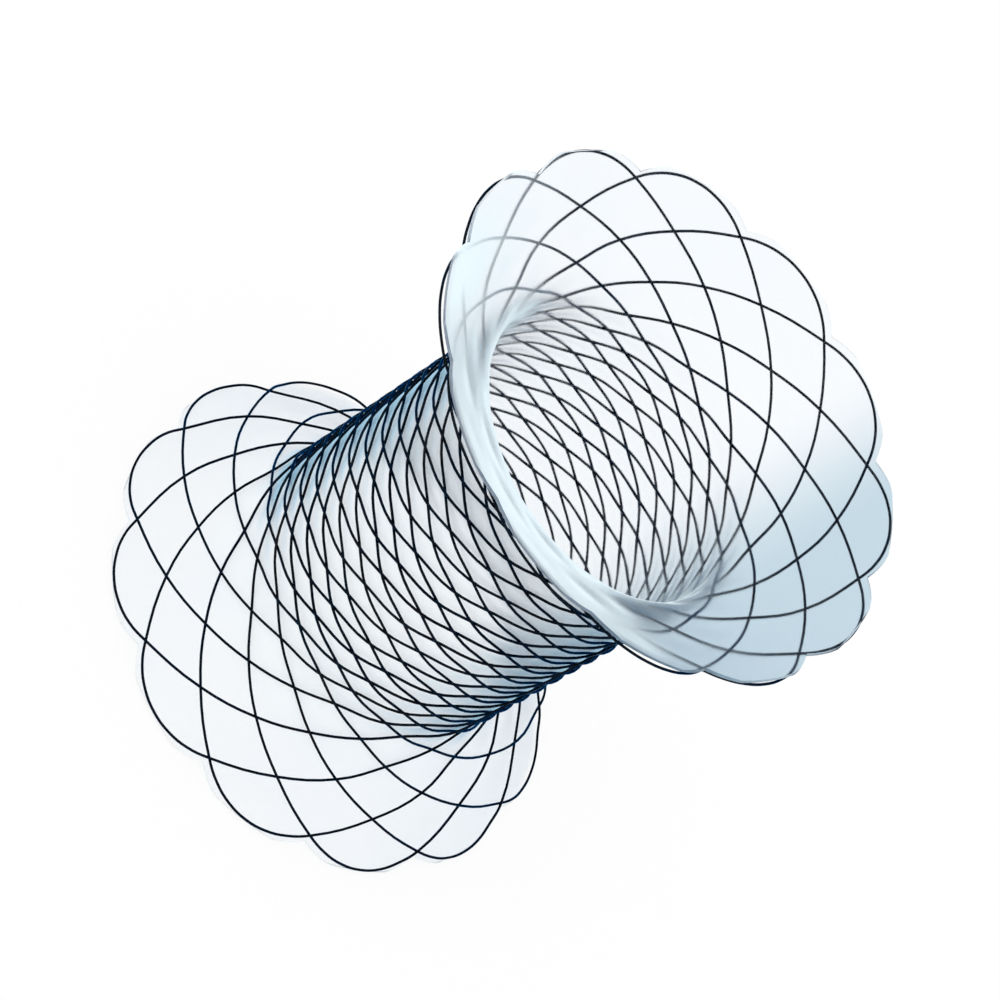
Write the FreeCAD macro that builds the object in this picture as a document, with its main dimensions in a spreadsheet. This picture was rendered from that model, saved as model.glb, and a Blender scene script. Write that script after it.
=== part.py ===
import FreeCAD, Part
import Sketcher
import math
import os

# Pseudocyst stent: a short braided tube between two wide trumpet flanges, covered inside by a thin film.
# Units are millimetres. The tube's axis is Z. It stands on the petal tips of its lower flange, at Z = 0.
# Pieces:
#   wire_frame      one nitinol wire, woven over and under itself into the whole braid and all the petals
#   silicone_cover  the moulded film that lines the braid, fills the petals and spans the valleys

doc = FreeCAD.newDocument("pseudocyst_stent")

# Driving sizes
sizes = doc.addObject("Spreadsheet::Sheet", "Sizes")
table = [
    ("body_radius", "8", "radius of the braid's middle surface in the straight body"),
    ("straight_half", "8.6", "half length of the straight body, up to where the flare starts"),
    ("flare_bend", "2.6", "bend radius of the braid's middle surface between body and flange"),
    ("flare_angle", "57", "angle of the flange cone from the axis, degrees"),
    ("valley_radius", "12.5", "radius where the wires of two neighbour petals cross"),
    ("petal_height", "0.8", "distance of a petal's tip outside that crossing, seen along the axis"),
    ("petals", "12", "petals in each flange"),
    ("body_row_gap", "0.68", "height between two rows of crossings in the body"),
    ("wire_diameter", "0.14", "thickness of the wire"),
    ("weave_clearance", "0.02", "gap between the two wires at a crossing"),
    ("end_gap", "0.03", "gap between the two ends of the wire"),
    ("film_thickness", "0.15", "wall of the film"),
    ("film_clearance", "0.07", "gap between the film and the innermost wires"),
    ("film_overhang", "0.2", "length of film past the wire at a petal tip, along the flange"),
    ("film_border", "0.12", "width of film outside the wire along a petal's flanks, seen along the axis"),
    ("valley_fillet", "4", "radius of the film's edge in the valley between two petals"),
]
for row, (alias, value, note) in enumerate(table, start=1):
    sizes.set("A%d" % row, alias)
    sizes.set("B%d" % row, value)
    sizes.set("C%d" % row, note)
    sizes.setAlias("B%d" % row, alias)
doc.recompute()


def size(alias):
    return float(sizes.get(alias))


body_radius = size("body_radius")
straight_half = size("straight_half")
flare_bend = size("flare_bend")
flare = math.radians(size("flare_angle"))
valley_radius = size("valley_radius")
tip_radius = valley_radius + size("petal_height")
petals = int(round(size("petals")))
row_gap = size("body_row_gap")
wire_radius = size("wire_diameter") / 2
half_step = math.pi / petals

# Expressions shared by the film's sketches
FLARE = "Sizes.flare_angle * 1 deg"
HALF_STEP = "(180 deg / Sizes.petals)"
OUT = "(Sizes.wire_diameter + Sizes.weave_clearance / 2 + Sizes.film_clearance)"
IN = "(" + OUT + " + Sizes.film_thickness)"
TIP = "(Sizes.valley_radius + Sizes.petal_height)"
CONE_START = "(Sizes.body_radius + Sizes.flare_bend * (1 - cos(" + FLARE + ")))"
TIP_HEIGHT = ("(Sizes.straight_half + Sizes.flare_bend * sin(" + FLARE + ")"
              " + (" + TIP + " - " + CONE_START + ") / tan(" + FLARE + "))")
RIM_HEIGHT = ("(" + TIP_HEIGHT + " + " + OUT + " * sin(" + FLARE + ")"
              " + Sizes.film_overhang * cos(" + FLARE + "))")
PETAL_CENTRE = ("((" + TIP + "^2 - Sizes.valley_radius^2)"
                " / (2 * (" + TIP + " - Sizes.valley_radius * cos(" + HALF_STEP + "))))")
PETAL_EDGE = "(" + TIP + " - " + PETAL_CENTRE + " + Sizes.film_border)"

film_out = 2 * wire_radius + size("weave_clearance") / 2 + size("film_clearance")
film_in = film_out + size("film_thickness")
cone_start = body_radius + flare_bend * (1 - math.cos(flare))
cone_height = straight_half + flare_bend * math.sin(flare)
tip_height = cone_height + (tip_radius - cone_start) / math.tan(flare)
rim_height = tip_height + film_out * math.sin(flare) + size("film_overhang") * math.cos(flare)
petal_centre = ((tip_radius ** 2 - valley_radius ** 2)
                / (2 * (tip_radius - valley_radius * math.cos(half_step))))
petal_radius = tip_radius - petal_centre
petal_edge = petal_radius + size("film_border")


# Film: half of the wall is turned about the axis, mirrored, and its two rims are cut to petals
def plane(body, role):
    for feature in body.Origin.OriginFeatures:
        if feature.Role == role:
            return feature
    raise ValueError(role)


def vec(x, y, z=0.0):
    return FreeCAD.Vector(x, y, z)


def new_sketch(body, name, role):
    sketch = body.newObject("Sketcher::SketchObject", name)
    sketch.AttachmentSupport = [(plane(body, role), "")]
    sketch.MapMode = "FlatFace"
    return sketch


def bind(sketch, constraint, expression):
    index = sketch.addConstraint(constraint)
    sketch.renameConstraint(index, "size_%d" % index)
    sketch.setExpression("Constraints.size_%d" % index, expression)
    return index


cover = doc.addObject("PartDesign::Body", "SiliconeCover")
cover.Label = "silicone_cover"

wall = new_sketch(cover, "WallProfile", "XZ_Plane")


# The bend between body and flange is drawn as flat strips that touch a guide circle on the side of the lumen
BEND_STRIPS = 2


def wall_side(offset, offset_expression):
    # Straight wall, strips of the bend and flange line of one face of the film, from the middle to the rim
    middle = vec(body_radius + flare_bend, straight_half)
    bend = flare_bend + offset
    turn = flare / (BEND_STRIPS + 1)
    corners = [vec(middle.x - bend, 0)]
    for index in range(BEND_STRIPS + 1):
        corner_turn = turn * (index + 0.5)
        corner_reach = bend / math.cos(turn / 2)
        corners.append(vec(middle.x - corner_reach * math.cos(corner_turn),
                           middle.y + corner_reach * math.sin(corner_turn)))
    last = corners[-1]
    corners.append(vec(last.x + (rim_height - last.y) * math.tan(flare), rim_height))
    guide = wall.addGeometry(Part.Circle(middle, vec(0, 0, 1), bend), True)
    lines = []
    for start, end in zip(corners, corners[1:]):
        lines.append(wall.addGeometry(Part.LineSegment(start, end)))
    for one, two in zip(lines, lines[1:]):
        wall.addConstraint(Sketcher.Constraint("Coincident", one, 2, two, 1))
    wall.addConstraint(Sketcher.Constraint("PointOnObject", lines[0], 1, -1))
    wall.addConstraint(Sketcher.Constraint("Vertical", lines[0]))
    for line in lines:
        wall.addConstraint(Sketcher.Constraint("Tangent", line, guide))
    for index, line in enumerate(lines[1:], start=1):
        share = "%s * %d / %d" % (FLARE, index, BEND_STRIPS + 1)
        bind(wall, Sketcher.Constraint("Angle", line, math.pi / 2 - turn * index), "90 deg - " + share)
    bind(wall, Sketcher.Constraint("Radius", guide, bend), "Sizes.flare_bend + " + offset_expression)
    return lines[0], lines[-1], guide, corners[0], corners[-1]


in_wall, in_cone, in_guide, in_foot, in_rim = wall_side(film_in, IN)
out_wall, out_cone, out_guide, out_foot, out_rim = wall_side(film_out, OUT)
rim_line = wall.addGeometry(Part.LineSegment(in_rim, out_rim))
base_line = wall.addGeometry(Part.LineSegment(in_foot, out_foot))
wall.addConstraint([
    Sketcher.Constraint("Coincident", in_cone, 2, rim_line, 1),
    Sketcher.Constraint("Coincident", out_cone, 2, rim_line, 2),
    Sketcher.Constraint("Coincident", in_wall, 1, base_line, 1),
    Sketcher.Constraint("Coincident", out_wall, 1, base_line, 2),
    Sketcher.Constraint("Horizontal", rim_line),
    Sketcher.Constraint("Coincident", in_guide, 3, out_guide, 3),
])
bind(wall, Sketcher.Constraint("DistanceX", -1, 1, in_guide, 3, body_radius + flare_bend),
     "Sizes.body_radius + Sizes.flare_bend")
bind(wall, Sketcher.Constraint("DistanceY", -1, 1, in_guide, 3, straight_half), "Sizes.straight_half")
bind(wall, Sketcher.Constraint("DistanceY", -1, 1, rim_line, 1, rim_height), RIM_HEIGHT)

turned = cover.newObject("PartDesign::Revolution", "Wall")
turned.Profile = wall
turned.ReferenceAxis = (wall, ["V_Axis"])
turned.Angle = 360
doc.recompute()

both = cover.newObject("PartDesign::Mirrored", "BothHalves")
both.Originals = [turned]
both.MirrorPlane = (plane(cover, "XY_Plane"), [""])
cover.Tip = both
doc.recompute()

# How far out the valley cuts reach, as a share of the tip radius
CUT_REACH = 1.25


# One valley between two petals, cut along the axis: arcs of the petals' outlines and a fillet between them
def valley_cut(name, turned_half_step, downwards):
    sketch = new_sketch(cover, name + "Profile", "XY_Plane")
    if turned_half_step:
        sketch.AttachmentOffset = FreeCAD.Placement(vec(0, 0), FreeCAD.Rotation(vec(0, 0, 1), 1))
        sketch.setExpression("AttachmentOffset.Rotation.Angle", HALF_STEP)
    fillet = size("valley_fillet")
    reach = tip_radius * CUT_REACH
    cx = petal_centre * math.cos(half_step)
    cy = petal_centre * math.sin(half_step)
    # The fillet's centre lies on the X axis, outside both outlines
    fx = cx + math.sqrt((petal_edge + fillet) ** 2 - cy ** 2)
    touch = math.atan2(-cy, fx - cx)
    top = vec((petal_centre + petal_edge) * math.cos(half_step), (petal_centre + petal_edge) * math.sin(half_step))
    far = vec(reach, reach * math.tan(half_step))
    upper = Part.ArcOfCircle(Part.Circle(vec(cx, cy), vec(0, 0, 1), petal_edge), touch, half_step)
    lower = Part.ArcOfCircle(Part.Circle(vec(cx, -cy), vec(0, 0, 1), petal_edge), -half_step, -touch)
    valley = Part.ArcOfCircle(Part.Circle(vec(fx, 0), vec(0, 0, 1), fillet), math.pi + touch, math.pi - touch)
    sketch.addGeometry(upper)
    sketch.addGeometry(lower)
    sketch.addGeometry(valley)
    sketch.addGeometry(Part.LineSegment(top, far))
    sketch.addGeometry(Part.LineSegment(far, vec(far.x, -far.y)))
    sketch.addGeometry(Part.LineSegment(vec(far.x, -far.y), vec(top.x, -top.y)))
    sketch.addConstraint([
        Sketcher.Constraint("Tangent", 0, 1, 2, 1),
        Sketcher.Constraint("Tangent", 1, 2, 2, 2),
        Sketcher.Constraint("Coincident", 0, 2, 3, 1),
        Sketcher.Constraint("Coincident", 3, 2, 4, 1),
        Sketcher.Constraint("Coincident", 4, 2, 5, 1),
        Sketcher.Constraint("Coincident", 5, 2, 1, 1),
        Sketcher.Constraint("Symmetric", 0, 3, 1, 3, -1),
        Sketcher.Constraint("Symmetric", 3, 1, 5, 2, -1),
        Sketcher.Constraint("Symmetric", 3, 2, 4, 2, -1),
        Sketcher.Constraint("PointOnObject", -1, 1, 3),
        Sketcher.Constraint("PointOnObject", 0, 3, 3),
    ])
    bind(sketch, Sketcher.Constraint("DistanceX", -1, 1, 0, 3, cx),
         PETAL_CENTRE + " * cos(" + HALF_STEP + ")")
    bind(sketch, Sketcher.Constraint("DistanceY", -1, 1, 0, 3, cy),
         PETAL_CENTRE + " * sin(" + HALF_STEP + ")")
    bind(sketch, Sketcher.Constraint("Radius", 0, petal_edge), PETAL_EDGE)
    bind(sketch, Sketcher.Constraint("Radius", 2, fillet), "Sizes.valley_fillet")
    bind(sketch, Sketcher.Constraint("DistanceX", -1, 1, 3, 2, reach), TIP + " * %s" % CUT_REACH)
    cut = cover.newObject("PartDesign::Pocket", name)
    cut.Profile = sketch
    cut.Type = 1
    cut.Reversed = not downwards
    doc.recompute()
    copies = cover.newObject("PartDesign::PolarPattern", name + "Copies")
    copies.Originals = [cut]
    copies.Axis = (plane(cover, "Z_Axis"), [""])
    copies.Angle = 360
    copies.setExpression("Occurrences", "Sizes.petals")
    cover.Tip = copies
    doc.recompute()
    return copies


# Upper petals lie at 0, 30, 60 degrees and so on, lower petals half a step further round
before = both.Shape.Volume
upper_rim = valley_cut("UpperValley", True, False)
after_upper = upper_rim.Shape.Volume
lower_rim = valley_cut("LowerValley", False, True)
after_lower = lower_rim.Shape.Volume
print("film volume", before, after_upper, after_lower)
print("lumen radius", body_radius - film_in, "and straight length",
      2 * (straight_half + (flare_bend + film_in) * math.tan(flare / (BEND_STRIPS + 1) / 2)))
if not (before > after_upper > after_lower):
    raise ValueError("a rim cut removed nothing")
if abs((before - after_upper) - (after_upper - after_lower)) > 0.02 * (before - after_upper):
    raise ValueError("the two rims differ")

# The lower rim's flat edge is the base
cover.setExpression("Placement.Base.z", RIM_HEIGHT)


# Wire: points of the braid's middle surface, by the length along the surface from the middle of the body
bend_length = flare_bend * flare


def surface(station):
    side = 1 if station >= 0 else -1
    along = abs(station)
    if along <= straight_half:
        return body_radius, station, 0.0
    if along <= straight_half + bend_length:
        turn = (along - straight_half) / flare_bend
        radius = body_radius + flare_bend * (1 - math.cos(turn))
        height = straight_half + flare_bend * math.sin(turn)
        return radius, side * height, side * turn
    rest = along - straight_half - bend_length
    return cone_start + rest * math.sin(flare), side * (cone_height + rest * math.cos(flare)), side * flare


def place(station, angle, lift):
    # A point lifted off the middle surface, away from the lumen
    radius, height, turn = surface(station)
    radius += lift * math.cos(turn)
    height -= lift * math.sin(turn)
    return vec(radius * math.cos(angle), radius * math.sin(angle), height + rim_height)


def station_of(radius):
    return straight_half + bend_length + (radius - cone_start) / math.sin(flare)


# Rows of crossings: even in the body, then further apart row by row up to the crossing between two petals.
# BODY_STEPS even steps in the body, then FLARE_ROWS growing ones at each end.
BODY_STEPS = 21
FLARE_ROWS = 7
last_body = BODY_STEPS * row_gap / 2
span = station_of(valley_radius) - last_body


def grown(growth):
    return sum(row_gap * growth ** step for step in range(1, FLARE_ROWS + 1))


low, high = 0.5, 2.0
for turn in range(80):
    middle = (low + high) / 2
    if grown(middle) < span:
        low = middle
    else:
        high = middle
growth = (low + high) / 2
upper_rows = [last_body]
for step in range(1, FLARE_ROWS + 1):
    upper_rows.append(upper_rows[-1] + row_gap * growth ** step)
body_rows = [last_body - row_gap * index for index in range(1, BODY_STEPS)]
rows = upper_rows[::-1] + body_rows + [-value for value in upper_rows]
print("rows", len(rows), "growth", growth, "gaps", [round(rows[i] - rows[i + 1], 3) for i in range(8)])

lift_step = wire_radius + size("weave_clearance") / 2

# Straight stretches of wire round one petal, and the turn from its tip to a valley crossing, about its centre
PETAL_STEPS = 4
valley_turn = math.atan2(valley_radius * math.sin(half_step), valley_radius * math.cos(half_step) - petal_centre)


def petal_points(side, angle):
    # The rounded tip between two valley crossings, a circle when seen along the axis
    points = []
    for index in range(1, PETAL_STEPS):
        turn = valley_turn * (2 * index / PETAL_STEPS - 1)
        x = petal_centre + petal_radius * math.cos(turn)
        y = petal_radius * math.sin(turn)
        # The tip carries the wire from one side of the weave to the other
        lift = lift_step * side * turn / valley_turn
        points.append(place(side * station_of(math.hypot(x, y)), angle + math.atan2(y, x), lift))
    return points


# The wire runs down, round a lower petal, up, round an upper petal, and so on, always the same way round
path = []
angle = 0.0
for circuit in range(petals):
    for index, station in enumerate(rows):
        angle += half_step
        path.append(place(station, angle, lift_step * (1 if index % 2 == 0 else -1)))
    angle += half_step
    path.extend(petal_points(-1, angle))
    for index in range(len(rows) - 1, -1, -1):
        angle += half_step
        path.append(place(rows[index], angle, lift_step * (-1 if index % 2 == 0 else 1)))
    angle += half_step
    path.extend(petal_points(1, angle))
turns = angle / (2 * math.pi)
print("points", len(path), "turns", turns)
if abs(turns - round(turns)) > 1e-9:
    raise ValueError("the wire doesn't come back to its start")

# The two ends meet in the body, just past so many rows of the way down, after so many circuits of the wire
JOINT_STEPS = 17
JOINT_CIRCUITS = 3
joint = JOINT_STEPS + (len(rows) * 2 + 2 * (PETAL_STEPS - 1)) * JOINT_CIRCUITS
path = path[joint + 1:] + path[:joint + 1]
gap_line = path[0] - path[-1]
middle = (path[0] + path[-1]) * 0.5
gap_way = FreeCAD.Vector(gap_line).normalize()
path = [middle + gap_way * (size("end_gap") / 2)] + path + [middle - gap_way * (size("end_gap") / 2)]

# A four-sided tube along the path, each corner cut on the plane that halves the turn
SIDES = 4
ways = [(path[i + 1] - path[i]).normalize() for i in range(len(path) - 1)]


def slide(point, way, on, normal):
    # The point moved along the wire to the plane through on
    return point + way * ((on - point).dot(normal) / way.dot(normal))


start_out = vec(path[0].x, path[0].y, 0).normalize()
across = ways[0].cross(start_out).normalize()
upright = across.cross(ways[0]).normalize()
ring = []
for index in range(SIDES):
    turn = 2 * math.pi * index / SIDES
    ring.append(path[0] + upright * (wire_radius * math.cos(turn)) + across * (wire_radius * math.sin(turn)))
rings = [ring]
for index in range(1, len(path)):
    way = ways[index - 1]
    if index < len(path) - 1:
        normal = (way + ways[index]).normalize()
    else:
        normal = way
    ring = [slide(point, way, path[index], normal) for point in ring]
    rings.append(ring)

faces = [Part.Face(Part.makePolygon(rings[0] + [rings[0][0]]))]
faces.append(Part.Face(Part.makePolygon(rings[-1] + [rings[-1][0]])))
for index in range(len(rings) - 1):
    one = rings[index]
    two = rings[index + 1]
    for corner in range(SIDES):
        after = (corner + 1) % SIDES
        outline = [one[corner], one[after], two[after], two[corner], one[corner]]
        faces.append(Part.Face(Part.makePolygon(outline)))
shell = Part.Shell(faces)
shell.sewShape()
solid = Part.Solid(shell)
if solid.Volume < 0:
    solid.reverse()
length = sum((path[i + 1] - path[i]).Length for i in range(len(path) - 1))
section = SIDES / 2 * wire_radius ** 2 * math.sin(2 * math.pi / SIDES)
print("wire length", length, "volume", solid.Volume, "section times length", section * length)
if abs(solid.Volume / (section * length) - 1) > 0.02:
    raise ValueError("the wire's volume is wrong")

wire = doc.addObject("Part::Feature", "WireFrame")
wire.Label = "wire_frame"
wire.Shape = solid
wire.Placement = FreeCAD.Placement(vec(0, 0, 0), FreeCAD.Rotation())
doc.recompute()

# Nothing is written unless every object is sound
for item in doc.Objects:
    if "Invalid" in item.State or "Error" in item.State:
        raise ValueError("failed: " + item.Label + " " + str(item.State))
pieces = [cover, wire]
for piece in pieces:
    if piece.Shape.isNull() or not piece.Shape.isValid():
        raise ValueError("bad shape: " + piece.Label)
    if len(piece.Shape.Solids) != 1:
        raise ValueError("not one solid: " + piece.Label)

os.makedirs("parts", exist_ok=True)
for piece in pieces:
    piece.Shape.exportStep("parts/" + piece.Label + ".step")
    box = piece.Shape.BoundBox
    print(piece.Label, len(piece.Shape.Faces), "faces", round(piece.Shape.Volume, 4), "mm3",
          [round(v, 3) for v in (box.XMin, box.YMin, box.ZMin, box.XMax, box.YMax, box.ZMax)])
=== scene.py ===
# %% [markdown]
# A covered stent with two petalled flanges
#
# The real object is a short tube woven from one dark springy wire. Each end opens into a trumpet flange
# with twelve rounded petals, and a thin clear silicone film lines the whole braid, fills the petals and
# spans the valleys between them. The CAD model holds the true sizes. Here the plain four-sided wire and
# the faceted film are replaced by a round, smooth wire and a film that is drawn tight between the wires.

import bpy
import math
import numpy as np
from mathutils import Matrix, Vector


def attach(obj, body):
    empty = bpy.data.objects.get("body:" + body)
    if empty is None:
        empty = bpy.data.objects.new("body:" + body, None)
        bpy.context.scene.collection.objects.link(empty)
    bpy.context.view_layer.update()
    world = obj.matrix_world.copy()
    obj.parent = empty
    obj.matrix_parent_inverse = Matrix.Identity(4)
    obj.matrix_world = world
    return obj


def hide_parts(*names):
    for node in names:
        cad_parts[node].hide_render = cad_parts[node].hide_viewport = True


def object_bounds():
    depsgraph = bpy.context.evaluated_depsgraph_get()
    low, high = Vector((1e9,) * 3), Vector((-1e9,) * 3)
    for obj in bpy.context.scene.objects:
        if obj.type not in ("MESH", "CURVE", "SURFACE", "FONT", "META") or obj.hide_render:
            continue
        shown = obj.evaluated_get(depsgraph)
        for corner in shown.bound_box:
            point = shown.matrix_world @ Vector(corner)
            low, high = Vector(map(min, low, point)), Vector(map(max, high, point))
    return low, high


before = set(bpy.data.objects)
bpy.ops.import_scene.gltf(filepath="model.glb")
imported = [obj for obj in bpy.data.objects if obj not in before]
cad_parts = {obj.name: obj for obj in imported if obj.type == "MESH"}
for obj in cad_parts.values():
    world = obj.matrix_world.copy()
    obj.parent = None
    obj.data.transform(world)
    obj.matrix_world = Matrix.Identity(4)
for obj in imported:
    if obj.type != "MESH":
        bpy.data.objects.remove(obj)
cad_low, cad_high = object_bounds()
bpy.context.scene.view_settings.view_transform = "Standard"
MM = 0.001
middle_height = (cad_low.z + cad_high.z) / 2 / MM
print("half the overall height, mm:", round(middle_height, 3))

# %% [markdown]
# The camera comes first, so that everything after it can be judged in the right view. Its place, its aim
# and its roll are the ones at which the wire crossings of the model fall on those of the photograph. It
# is a long lens from about twenty centimetres, which keeps the two flanges nearly the same size. The
# camera is rolled, because the photograph shows the stent's axis leaning to the upper right.

# %% Camera
LENS = 144.0
SENSOR = 36.0
CAMERA_AZIMUTH = -10.725
CAMERA_ELEVATION = 44.880
CAMERA_ROLL = 58.018
CAMERA_DISTANCE = 192.90
AIM_POINT = Vector((-0.717, 0.626, 0.484))


def look_from(azimuth, elevation, roll):
    # The turn that points a camera back at what it circles, and then rolls it about its own line of sight
    side = math.radians(azimuth)
    rise = math.radians(elevation)
    back = Vector((math.sin(side) * math.cos(rise), -math.cos(side) * math.cos(rise), math.sin(rise)))
    upright = (-back).to_track_quat("-Z", "Y").to_matrix().to_4x4()
    return back, upright @ Matrix.Rotation(math.radians(roll), 4, "Z")


bpy.ops.object.select_all(action="DESELECT")
bpy.ops.object.camera_add()
camera = bpy.context.object
camera.name = "photo_camera"
camera.data.lens = LENS
camera.data.sensor_width = SENSOR
camera.data.clip_start = 0.01
camera.data.clip_end = 50.0
back, turned = look_from(CAMERA_AZIMUTH, CAMERA_ELEVATION, CAMERA_ROLL)
aim = AIM_POINT + Vector((0.0, 0.0, middle_height))
camera.matrix_world = Matrix.Translation((aim + back * CAMERA_DISTANCE) * MM) @ turned
bpy.context.scene.camera = camera
print("camera at", [round(value, 4) for value in camera.location])

# %% [markdown]
# Wire and film follow the same surface of revolution: a straight body, a round bend and a straight cone.
# These are its sizes in millimetres, the same ones as in the CAD source. A point of it is found from its
# station, the length along the surface from the middle of the stent, and from its angle round the axis.

# %% The surface that the stent is woven on
BODY_RADIUS = 8.0
STRAIGHT_HALF = 8.6
FLARE_BEND = 2.6
FLARE = math.radians(57.0)
VALLEY_RADIUS = 12.5
PETAL_HEIGHT = 0.8
TIP_RADIUS = VALLEY_RADIUS + PETAL_HEIGHT
PETALS = 12
WIRE_DIAMETER = 0.14
WEAVE_CLEARANCE = 0.02
HALF_STEP = math.pi / PETALS
BEND_LENGTH = FLARE_BEND * FLARE
CONE_START = BODY_RADIUS + FLARE_BEND * (1 - math.cos(FLARE))
CONE_HEIGHT = STRAIGHT_HALF + FLARE_BEND * math.sin(FLARE)


def surface(station):
    # Radius, height from the middle, and the surface's lean away from the axis
    side = 1 if station >= 0 else -1
    along = abs(station)
    if along <= STRAIGHT_HALF:
        return BODY_RADIUS, station, 0.0
    if along <= STRAIGHT_HALF + BEND_LENGTH:
        turn = (along - STRAIGHT_HALF) / FLARE_BEND
        height = STRAIGHT_HALF + FLARE_BEND * math.sin(turn)
        return BODY_RADIUS + FLARE_BEND * (1 - math.cos(turn)), side * height, side * turn
    rest = along - STRAIGHT_HALF - BEND_LENGTH
    return CONE_START + rest * math.sin(FLARE), side * (CONE_HEIGHT + rest * math.cos(FLARE)), side * FLARE


def place(station, angle, lift):
    # A point lifted off the surface, away from the lumen, in metres
    radius, height, turn = surface(station)
    radius += lift * math.cos(turn)
    height += middle_height - lift * math.sin(turn)
    return Vector((radius * math.cos(angle), radius * math.sin(angle), height)) * MM


def station_of(radius):
    return STRAIGHT_HALF + BEND_LENGTH + (radius - CONE_START) / math.sin(FLARE)


print("from the middle to a petal tip along the surface:", round(station_of(TIP_RADIUS), 2), "mm")

# %% [markdown]
# The crossings lie in rows round the stent. In the body the rows are even and close. In each flange they
# grow further apart row by row, until the last one, where two neighbour petals cross. The growth of each
# step over the one before is found by halving, so that the last row lands on its radius.

# %% Rows of crossings
BODY_ROW_GAP = 0.68
BODY_STEPS = 21
FLARE_ROWS = 7
HALVINGS = 60
last_body = BODY_STEPS * BODY_ROW_GAP / 2
span = station_of(VALLEY_RADIUS) - last_body
low, high = 0.5, 2.0
for halving in range(HALVINGS):
    growth = (low + high) / 2
    if sum(BODY_ROW_GAP * growth ** step for step in range(1, FLARE_ROWS + 1)) < span:
        low = growth
    else:
        high = growth
upper_rows = [last_body]
for step in range(1, FLARE_ROWS + 1):
    upper_rows.append(upper_rows[-1] + BODY_ROW_GAP * growth ** step)
body_rows = [last_body - BODY_ROW_GAP * index for index in range(1, BODY_STEPS)]
rows = upper_rows[::-1] + body_rows + [-value for value in upper_rows]
print("rows of crossings:", len(rows), "- growth in a flange:", round(growth, 4))

# %% [markdown]
# The whole frame is one wire. It runs down the braid in a helix, turns round a lower petal, runs up,
# turns round an upper petal and so on, always the same way round, until it has made every petal and
# meets its own start. At each crossing it passes over or under the strand that comes the other way, so
# its distance from the surface swings from one side to the other.

# %% The route of the one wire
LIFT = (WIRE_DIAMETER + WEAVE_CLEARANCE) / 2
PETAL_STEPS = 6
petal_centre = ((TIP_RADIUS ** 2 - VALLEY_RADIUS ** 2)
                / (2 * (TIP_RADIUS - VALLEY_RADIUS * math.cos(HALF_STEP))))
petal_radius = TIP_RADIUS - petal_centre
valley_turn = math.atan2(VALLEY_RADIUS * math.sin(HALF_STEP),
                         VALLEY_RADIUS * math.cos(HALF_STEP) - petal_centre)


def petal_points(side, angle):
    # The rounded tip between two valley crossings, a circle when seen along the axis
    points = []
    for index in range(1, PETAL_STEPS):
        turn = valley_turn * (2 * index / PETAL_STEPS - 1)
        x = petal_centre + petal_radius * math.cos(turn)
        y = petal_radius * math.sin(turn)
        lift = LIFT * side * turn / valley_turn
        points.append(place(side * station_of(math.hypot(x, y)), angle + math.atan2(y, x), lift))
    return points


route = []
angle = 0.0
for circuit in range(PETALS):
    for index, station in enumerate(rows):
        angle += HALF_STEP
        route.append(place(station, angle, LIFT * (1 if index % 2 == 0 else -1)))
    angle += HALF_STEP
    route.extend(petal_points(-1, angle))
    for index in range(len(rows) - 1, -1, -1):
        angle += HALF_STEP
        route.append(place(rows[index], angle, LIFT * (-1 if index % 2 == 0 else 1)))
    angle += HALF_STEP
    route.extend(petal_points(1, angle))
print("points on the wire's route:", len(route), "- turns round the axis:", round(angle / (2 * math.pi), 6))

# %% [markdown]
# The two ends of the wire meet in the body, where a real wire's ends are joined. The route is turned
# round so that it starts there, and the ends stop a hair's breadth apart.

# %% Where the two ends meet
END_GAP = 0.03 * MM
JOINT_STEPS = 17
JOINT_CIRCUITS = 3
joint = JOINT_STEPS + (len(rows) * 2 + 2 * (PETAL_STEPS - 1)) * JOINT_CIRCUITS
route = route[joint + 1:] + route[:joint + 1]
butt = (route[0] + route[-1]) / 2
butt_way = (route[0] - route[-1]).normalized() * END_GAP / 2
route = [butt + butt_way] + route + [butt - butt_way]
print("the ends meet at", [round(value / MM, 2) for value in butt], "mm")

# %% [markdown]
# A Bezier curve with automatic handles passes smoothly through every crossing. Its round bevel gives the
# wire its thickness, and converting it leaves a closed mesh with a cap at each end.

# %% The woven wire
CURVE_STEPS = 4
BEVEL_STEPS = 2
SMOOTH_UP_TO = math.radians(40.0)


def smooth_tube(name, points, radius):
    # A round closed tube through the points, made from a curve with automatic handles
    bpy.ops.object.select_all(action="DESELECT")
    bpy.ops.curve.primitive_bezier_curve_add()
    curve = bpy.context.object
    curve.name = name
    curve.matrix_world = Matrix.Identity(4)
    spline = curve.data.splines[0]
    spline.bezier_points.add(len(points) - len(spline.bezier_points))
    for knot, point in zip(spline.bezier_points, points):
        knot.co = point
        knot.handle_left_type = "AUTO"
        knot.handle_right_type = "AUTO"
    curve.data.resolution_u = CURVE_STEPS
    curve.data.bevel_depth = radius
    curve.data.bevel_resolution = BEVEL_STEPS
    curve.data.use_fill_caps = True
    bpy.ops.object.convert(target="MESH")
    bpy.ops.object.shade_smooth_by_angle(angle=SMOOTH_UP_TO)
    return bpy.context.object


woven_wire = smooth_tube("woven_wire", route, WIRE_DIAMETER / 2 * MM)
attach(woven_wire, "root")
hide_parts("wire_frame")
print("woven wire:", len(woven_wire.data.polygons), "faces")

# %% [markdown]
# The film ends a little outside the wire. Seen along the axis, its edge is an arc round each petal and a
# small fillet in each valley, cut off where it reaches the rim's full height. This gives the edge's
# distance from the axis at any angle from a petal's tip.

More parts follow.
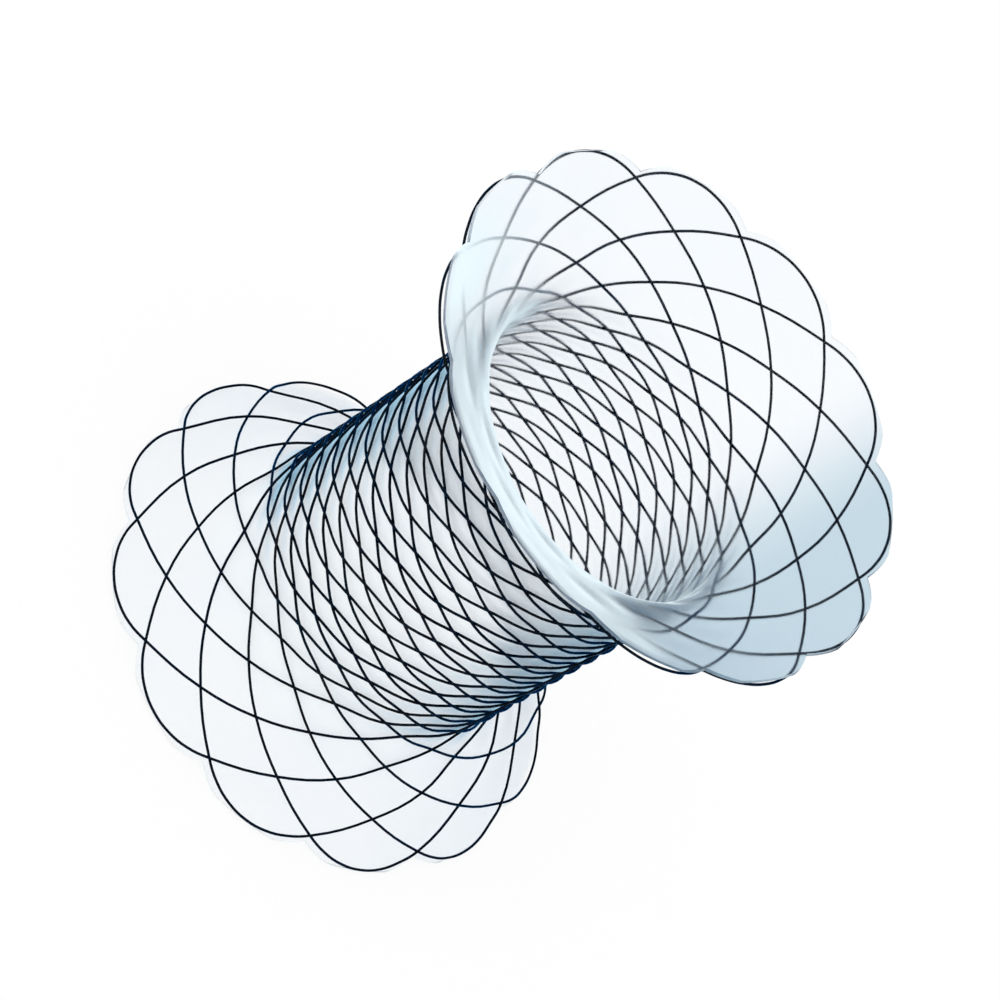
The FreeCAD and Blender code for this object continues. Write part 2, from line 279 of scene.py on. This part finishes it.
# %% The film's scalloped edge
FILM_THICKNESS = 0.15
FILM_CLEARANCE = 0.07
FILM_BORDER = 0.12
FILM_OVERHANG = 0.2
VALLEY_FILLET = 4.0
FILM_LIFT = -(WIRE_DIAMETER + WEAVE_CLEARANCE / 2 + FILM_CLEARANCE + FILM_THICKNESS / 2)
petal_edge = petal_radius + FILM_BORDER
rim_station = FILM_OVERHANG - FILM_THICKNESS / 2 * math.tan(FLARE)
tip_limit = TIP_RADIUS + rim_station * math.sin(FLARE) + FILM_LIFT * math.cos(FLARE)
fillet_centre = (petal_centre * math.cos(HALF_STEP)
                 + math.sqrt((petal_edge + VALLEY_FILLET) ** 2 - (petal_centre * math.sin(HALF_STEP)) ** 2))


def edge_radius(angle):
    # Distance of the film's edge from the axis; a petal's tip is at angle 0 and at every whole step
    from_tip = abs((angle / (2 * HALF_STEP) + 0.5) % 1.0 - 0.5) * 2 * HALF_STEP
    sideways = petal_centre * math.sin(from_tip)
    arc = petal_centre * math.cos(from_tip) + math.sqrt(petal_edge ** 2 - sideways ** 2)
    from_valley = fillet_centre * math.sin(HALF_STEP - from_tip)
    if from_valley >= VALLEY_FILLET:
        return min(arc, tip_limit)
    fillet = fillet_centre * math.cos(HALF_STEP - from_tip) - math.sqrt(VALLEY_FILLET ** 2 - from_valley ** 2)
    return min(arc, fillet, tip_limit)


def edge_station(angle):
    return station_of(edge_radius(angle) - FILM_LIFT * math.cos(FLARE))


print("edge at a tip, mm from the axis:", round(edge_radius(0), 3))
print("edge in a valley, mm from the axis:", round(edge_radius(HALF_STEP), 3))

# %% [markdown]
# The film is drawn as one tube of many sides that is extruded ring by ring, as a potter raises a wall.
# Then every point is moved to its place: the inner rings lie evenly along the body, and the outer ones
# stretch to the scalloped edge. Between the wires the film stands a little proud, like a tight skin with
# a slight pillow in every cell of the braid.

# %% The film, ring by ring
COLUMNS_PER_PETAL = 16
RINGS = 150
PILLOW = 0.07
PILLOW_FADE = 2.0
STRETCH = 6.0
reach = edge_station(HALF_STEP)


def pillow(station, angle):
    # 0 on a strand and 1 in the middle of a cell of the braid
    row = np.interp(-station, [-value for value in rows], range(len(rows)))
    one = (angle / HALF_STEP - row - 1) / 2
    two = (angle / HALF_STEP + row + 1) / 2
    fade = min(1.0, max(0.0, (station_of(VALLEY_RADIUS) - abs(station)) / PILLOW_FADE))
    return (math.sin(math.pi * one) * math.sin(math.pi * two)) ** 2 * fade


def film_point(share, angle):
    # share runs from -1 at the lower edge to 1 at the upper edge
    own = edge_station(angle if share > 0 else angle + HALF_STEP)
    station = share * (reach + (own - reach) * abs(share) ** STRETCH)
    return place(station, angle, FILM_LIFT + PILLOW * pillow(station, angle))


bpy.ops.object.select_all(action="DESELECT")
columns = PETALS * COLUMNS_PER_PETAL
bpy.ops.mesh.primitive_circle_add(vertices=columns, radius=BODY_RADIUS * MM, fill_type="NOTHING")
cover_film = bpy.context.object
cover_film.name = "cover_film"
bpy.ops.object.mode_set(mode="EDIT")
bpy.ops.mesh.select_all(action="SELECT")
for ring in range(RINGS):
    bpy.ops.mesh.extrude_edges_move(TRANSFORM_OT_translate={"value": (0, 0, MM)})
bpy.ops.object.mode_set(mode="OBJECT")
for vertex in cover_film.data.vertices:
    ring = round(vertex.co.z / MM)
    angle = math.atan2(vertex.co.y, vertex.co.x)
    vertex.co = film_point(2 * ring / RINGS - 1, angle)
print("film sheet:", len(cover_film.data.polygons), "faces")

# %% [markdown]
# A sheet has no thickness yet. Its normals are made to agree, and a Solidify modifier gives it its wall
# and closes the edge. The petals' tips are flattened to the height at which the part stands. Each point
# is marked as lying on the outer skin, towards the wires, or on the inner one, because the two skins get
# different finishes. Smooth shading is kept off the edge by an angle limit.

# %% The film gets its wall
bpy.ops.object.mode_set(mode="EDIT")
bpy.ops.mesh.select_all(action="SELECT")
bpy.ops.mesh.normals_make_consistent(inside=False)
bpy.ops.object.mode_set(mode="OBJECT")
wall = cover_film.modifiers.new("wall", "SOLIDIFY")
wall.thickness = FILM_THICKNESS * MM
wall.offset = 0.0
bpy.ops.object.modifier_apply(modifier=wall.name)
for vertex in cover_film.data.vertices:
    vertex.co.z = min(max(vertex.co.z, cad_low.z), cad_high.z)
outer_skin = cover_film.data.attributes.new("outer_skin", "FLOAT", "POINT")
for vertex, mark in zip(cover_film.data.vertices, outer_skin.data):
    mark.value = 1.0 if vertex.normal.dot(Vector((vertex.co.x, vertex.co.y, 0.0))) > 0 else 0.0
bpy.ops.object.shade_smooth_by_angle(angle=SMOOTH_UP_TO)
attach(cover_film, "root")
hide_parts("silicone_cover")
print("film with its wall:", len(cover_film.data.polygons), "faces")

# %% [markdown]
# One effect is shared by the two materials: a slow cloudiness. In the film it makes some places faintly
# bluer, and on the wire it makes the slow changes that heat leaves on drawn metal. It is a node group
# that reads the object's own coordinates, so it stays put when the view turns, with its scale and its
# contrast as inputs.

# %% A shared group: cloudiness
CLOUD_DETAIL = 3.0


def cloudiness_group():
    # A mask from 0 to 1 from one noise texture
    group = bpy.data.node_groups.new("cloudiness", "ShaderNodeTree")
    group.interface.new_socket("Scale", in_out="INPUT", socket_type="NodeSocketFloat")
    group.interface.new_socket("Low", in_out="INPUT", socket_type="NodeSocketFloat")
    group.interface.new_socket("High", in_out="INPUT", socket_type="NodeSocketFloat")
    group.interface.new_socket("Mask", in_out="OUTPUT", socket_type="NodeSocketFloat")
    inputs = group.nodes.new("NodeGroupInput")
    outputs = group.nodes.new("NodeGroupOutput")
    coordinates = group.nodes.new("ShaderNodeTexCoord")
    noise = group.nodes.new("ShaderNodeTexNoise")
    noise.inputs["Detail"].default_value = CLOUD_DETAIL
    spread = group.nodes.new("ShaderNodeMapRange")
    group.links.new(coordinates.outputs["Object"], noise.inputs["Vector"])
    group.links.new(inputs.outputs["Scale"], noise.inputs["Scale"])
    group.links.new(noise.outputs["Fac"], spread.inputs["Value"])
    group.links.new(inputs.outputs["Low"], spread.inputs["From Min"])
    group.links.new(inputs.outputs["High"], spread.inputs["From Max"])
    group.links.new(spread.outputs["Result"], outputs.inputs["Mask"])
    return group


cloudiness = cloudiness_group()
print("shared group:", cloudiness.name)

# %% [markdown]
# Silicone of this kind is clear only to what touches it: wires that lie on the film stay sharp behind
# it, and whatever is further off melts into an even haze. A rough glass does exactly that. Inside the
# closed film a Volume Absorption takes a little red, so that the haze is faintly blue. One side of the
# upper flange has painted shade: a darker blue tint is faded in there by place, for the shade that falls
# on those petals. The index is kept low, because most of the mirroring at a film in air would only wash
# out the black of the wires.

# %% Clear silicone
CLEAR_FILM = (1.0, 1.0, 1.0, 1.0)
CLOUDED_FILM = (0.97, 0.985, 1.0, 1.0)
# The next colour is painted shade: the darker blue of the shaded petals on one side of the upper flange
PAINTED_SHADE_FILM = (0.60, 0.73, 0.80, 1.0)
FILM_DEPTH_COLOUR = (0.0, 0.45, 0.85, 1.0)
FILM_DEPTH_DENSITY = 300.0
FILM_ROUGHNESS = 0.32
FILM_INDEX = 1.14
CLOUD_SCALE = 120.0
CLOUD_LIMITS = (0.35, 0.65)
SHADE_AND_GLARE_SIDE = Vector((0.983, -0.186, 0.0))
PAINTED_SHADE_REACH = (3.0 * MM, 9.0 * MM)
PAINTED_SHADE_HEIGHT = (4.0 * MM, 20.0 * MM)


def new_material(name):
    material = bpy.data.materials.new(name)
    material.use_nodes = True
    tree = material.node_tree
    return material, tree, tree.nodes["Principled BSDF"]


def add_clouds(tree, scale, limits):
    node = tree.nodes.new("ShaderNodeGroup")
    node.node_tree = cloudiness
    node.inputs["Scale"].default_value = scale
    node.inputs["Low"].default_value = limits[0]
    node.inputs["High"].default_value = limits[1]
    return node.outputs["Mask"]


def feed(tree, socket, value):
    # A number, a colour or a vector is set on the socket, another node's output is linked to it
    if isinstance(value, bpy.types.NodeSocket):
        tree.links.new(value, socket)
    else:
        socket.default_value = value


def mix_colours(tree, mask, first, second):
    mix = tree.nodes.new("ShaderNodeMix")
    mix.data_type = "RGBA"
    feed(tree, mix.inputs["A"], first)
    feed(tree, mix.inputs["B"], second)
    feed(tree, mix.inputs["Factor"], mask)
    return mix.outputs["Result"]


def reckon(tree, operation, first, second):
    # One sum of two values
    node = tree.nodes.new("ShaderNodeMath")
    node.operation = operation
    feed(tree, node.inputs[0], first)
    feed(tree, node.inputs[1], second)
    return node.outputs["Value"]


def fade_over(tree, value, limits):
    # 0 up to the first limit, 1 beyond the second, and a soft change between
    spread = tree.nodes.new("ShaderNodeMapRange")
    spread.interpolation_type = "SMOOTHSTEP"
    feed(tree, spread.inputs["Value"], value)
    spread.inputs["From Min"].default_value = limits[0]
    spread.inputs["From Max"].default_value = limits[1]
    return spread.outputs["Result"]


def reach_along(tree, point, way):
    # How far a point lies along a way through the origin
    node = tree.nodes.new("ShaderNodeVectorMath")
    node.operation = "DOT_PRODUCT"
    feed(tree, node.inputs[0], point)
    feed(tree, node.inputs[1], way)
    return node.outputs["Value"]


silicone, tree, glass = new_material("clear_silicone_film")
position = tree.nodes.new("ShaderNodeTexCoord").outputs["Object"]
sideways = reach_along(tree, position, SHADE_AND_GLARE_SIDE)
height = reach_along(tree, position, Vector((0.0, 0.0, 1.0)))
# Painted shade: a mask on one side of the upper flange, where the film is faded to a darker blue
painted_shade_side = fade_over(tree, sideways, PAINTED_SHADE_REACH)
painted_shade_mask = reckon(tree, "MULTIPLY", painted_shade_side, fade_over(tree, height, PAINTED_SHADE_HEIGHT))
even_film = mix_colours(tree, add_clouds(tree, CLOUD_SCALE, CLOUD_LIMITS), CLEAR_FILM, CLOUDED_FILM)
feed(tree, glass.inputs["Base Color"], mix_colours(tree, painted_shade_mask, even_film, PAINTED_SHADE_FILM))
glass.inputs["Transmission Weight"].default_value = 1.0
glass.inputs["Roughness"].default_value = FILM_ROUGHNESS
glass.inputs["IOR"].default_value = FILM_INDEX
depth = tree.nodes.new("ShaderNodeVolumeAbsorption")
depth.inputs["Color"].default_value = FILM_DEPTH_COLOUR
depth.inputs["Density"].default_value = FILM_DEPTH_DENSITY
tree.links.new(depth.outputs["Volume"], tree.nodes["Material Output"].inputs["Volume"])
print("film material:", silicone.name)

# %% [markdown]
# Where the film is seen at a slant it turns milky: a pale blue haze that hides the wires behind it, as
# in the throat of the flange. One half of the stent is clearer, and there the slant has to be much
# steeper. The petals of one side of the upper flange are milkier: a painted glare, extra pale milk that
# stands in for the glare of a lamp on them. The outer skin of the body, cast against the braid, is a
# little matt as well, so one sees the near wall and hardly anything of the far one. All of it is one
# pale matt shader, mixed in by a mask that works where light comes into the film, and not where it
# leaves it.

# %% Milky silicone
MILK_FLANGE = (0.80, 0.92, 0.97, 1.0)
MILK_BODY_SLANTED = (0.44, 0.70, 0.88, 1.0)
MILK_BODY = (0.91, 0.97, 1.0, 1.0)
SLANT_STRENGTH = 2.3
SLANT_POWER = 4.0
BODY_HAZE = 0.30
BODY_TO_FLARE = (8.0 * MM, 10.0 * MM)
BLUE_SLANT = (0.4, 0.8)
CLEAR_SIDE = Vector((0.643, 0.766, 0.0))
CLEAR_REACH = (-4.5 * MM, -1.0 * MM)
CLEAR_SIDE_POWER = 11.0
# The next three numbers place and strengthen a painted glare: extra milk on one side's upper petals
PAINTED_GLARE_REACH = (-8.0 * MM, -11.0 * MM)
PAINTED_GLARE_HEIGHT = (18.0 * MM, 24.0 * MM)
PAINTED_GLARE_GAIN = 2.5
across = tree.nodes.new("ShaderNodeVectorMath")
across.operation = "MULTIPLY"
across.inputs[1].default_value = (1.0, 1.0, 0.0)
feed(tree, across.inputs[0], position)
from_axis = tree.nodes.new("ShaderNodeVectorMath")
from_axis.operation = "LENGTH"
feed(tree, from_axis.inputs[0], across.outputs["Vector"])
not_flared = reckon(tree, "SUBTRACT", 1.0, fade_over(tree, from_axis.outputs["Value"], BODY_TO_FLARE))
milk = tree.nodes.new("ShaderNodeBsdfDiffuse")
skin = tree.nodes.new("ShaderNodeAttribute")
skin.attribute_name = outer_skin.name
slant = tree.nodes.new("ShaderNodeLayerWeight").outputs["Facing"]
clear_side = fade_over(tree, reach_along(tree, position, CLEAR_SIDE), CLEAR_REACH)
added_power = reckon(tree, "MULTIPLY", clear_side, CLEAR_SIDE_POWER - SLANT_POWER)
slanted = reckon(tree, "POWER", slant, reckon(tree, "ADD", added_power, SLANT_POWER))
# Painted glare: the petals on this side of the upper flange get extra pale milk in place of a lamp's glare
painted_glare_side = fade_over(tree, sideways, PAINTED_GLARE_REACH)
painted_glare_petals = reckon(tree, "MULTIPLY", painted_glare_side, fade_over(tree, height, PAINTED_GLARE_HEIGHT))
strength = reckon(tree, "ADD", 1.0, reckon(tree, "MULTIPLY", painted_glare_petals, PAINTED_GLARE_GAIN))
hazed = reckon(tree, "MULTIPLY", slanted, reckon(tree, "MULTIPLY", strength, SLANT_STRENGTH))
on_body = reckon(tree, "MULTIPLY", skin.outputs["Fac"], not_flared)
hazed = reckon(tree, "ADD", hazed, reckon(tree, "MULTIPLY", on_body, BODY_HAZE))
leaving = tree.nodes.new("ShaderNodeNewGeometry").outputs["Backfacing"]
hazed = reckon(tree, "MULTIPLY", hazed, reckon(tree, "SUBTRACT", 1.0, leaving))
body_milk = mix_colours(tree, fade_over(tree, slant, BLUE_SLANT), MILK_BODY, MILK_BODY_SLANTED)
feed(tree, milk.inputs["Color"], mix_colours(tree, on_body, MILK_FLANGE, body_milk))
film_mix = tree.nodes.new("ShaderNodeMixShader")
feed(tree, film_mix.inputs["Fac"], hazed)
tree.links.new(glass.outputs["BSDF"], film_mix.inputs[1])
tree.links.new(milk.outputs["BSDF"], film_mix.inputs[2])
tree.links.new(film_mix.outputs["Shader"], tree.nodes["Material Output"].inputs["Surface"])
cover_film.data.materials.clear()
cover_film.data.materials.append(silicone)
print("shaders on the film:", glass.name, "and", milk.name)

# %% [markdown]
# The wire is nitinol with its dark heat oxide still on: nearly black, with a dull gleam and slow changes
# between blue-black and brown-black along its length.

# %% Material of the wire
OXIDE_BLUE = (0.004, 0.008, 0.013, 1.0)
OXIDE_BROWN = (0.009, 0.008, 0.008, 1.0)
OXIDE_RIM = (0.25, 0.55, 0.90, 1.0)
OXIDE_SCALE = 300.0
OXIDE_LIMITS = (0.4, 0.7)
GLEAM_SCALE = 2500.0
GLEAM_LIMITS = (0.0, 2.0)
nitinol, tree, shader = new_material("dark_nitinol")
oxide = mix_colours(tree, add_clouds(tree, OXIDE_SCALE, OXIDE_LIMITS), OXIDE_BLUE, OXIDE_BROWN)
feed(tree, shader.inputs["Base Color"], oxide)
feed(tree, shader.inputs["Roughness"], add_clouds(tree, GLEAM_SCALE, GLEAM_LIMITS))
shader.inputs["Metallic"].default_value = 1.0
shader.inputs["Specular Tint"].default_value = OXIDE_RIM
woven_wire.data.materials.clear()
woven_wire.data.materials.append(nitinol)
print("wire material:", nitinol.name)

# %% [markdown]
# The photograph's background is plain white. The floor is white too, and most of what the camera sees of
# it is its own even white, also in a mirror or through glass, so the stent's soft shadow stays but is
# faint.

# %% Floor and white surroundings
FLOOR_HALF = 1.5
FLOOR_WHITE = (0.93, 0.93, 0.93, 1.0)
FLOOR_ROUGHNESS = 0.9
EVEN_WHITE_SHARE = 0.88
bpy.ops.object.select_all(action="DESELECT")
bpy.ops.mesh.primitive_plane_add(size=2 * FLOOR_HALF)
floor = bpy.context.object
floor.name = "floor"
floor_paint, tree, shader = new_material("floor_white")
shader.inputs["Base Color"].default_value = FLOOR_WHITE
shader.inputs["Roughness"].default_value = FLOOR_ROUGHNESS
shader.inputs["Specular IOR Level"].default_value = 0.0
path = tree.nodes.new("ShaderNodeLightPath")
seen = reckon(tree, "MAXIMUM", path.outputs["Is Camera Ray"], path.outputs["Is Glossy Ray"])
seen = reckon(tree, "MAXIMUM", seen, path.outputs["Is Transmission Ray"])
plain = tree.nodes.new("ShaderNodeEmission")
blend = tree.nodes.new("ShaderNodeMixShader")
feed(tree, blend.inputs["Fac"], reckon(tree, "MULTIPLY", seen, EVEN_WHITE_SHARE))
tree.links.new(shader.outputs["BSDF"], blend.inputs[1])
tree.links.new(plain.outputs["Emission"], blend.inputs[2])
tree.links.new(blend.outputs["Shader"], tree.nodes["Material Output"].inputs["Surface"])
floor.data.materials.append(floor_paint)
print("floor:", 2 * FLOOR_HALF, "m across")

# %% [markdown]
# The light is that of a product photograph in a white tent: an even white all round, at the plain level
# of 1, and two large soft lamps that give the wire a gleam and the film a direction.

# %% World and lamps
WORLD_LEVEL = 1.0
LAMP_WIDTH = 0.30
world = bpy.data.worlds.new("white_tent")
world.use_nodes = True
bpy.context.scene.world = world
background = world.node_tree.nodes["Background"]
background.inputs["Color"].default_value = (1.0, 1.0, 1.0, 1.0)
background.inputs["Strength"].default_value = WORLD_LEVEL


def soft_lamp(name, azimuth, elevation, distance, power):
    bpy.ops.object.select_all(action="DESELECT")
    bpy.ops.object.light_add(type="AREA")
    lamp = bpy.context.object
    lamp.name = name
    lamp.data.size = LAMP_WIDTH
    lamp.data.energy = power
    towards, turned = look_from(azimuth, elevation, 0.0)
    lamp.matrix_world = Matrix.Translation(towards * distance + Vector((0, 0, middle_height * MM))) @ turned


soft_lamp("key_lamp", azimuth=-60.0, elevation=55.0, distance=0.45, power=0.30)
soft_lamp("fill_lamp", azimuth=70.0, elevation=40.0, distance=0.50, power=0.15)
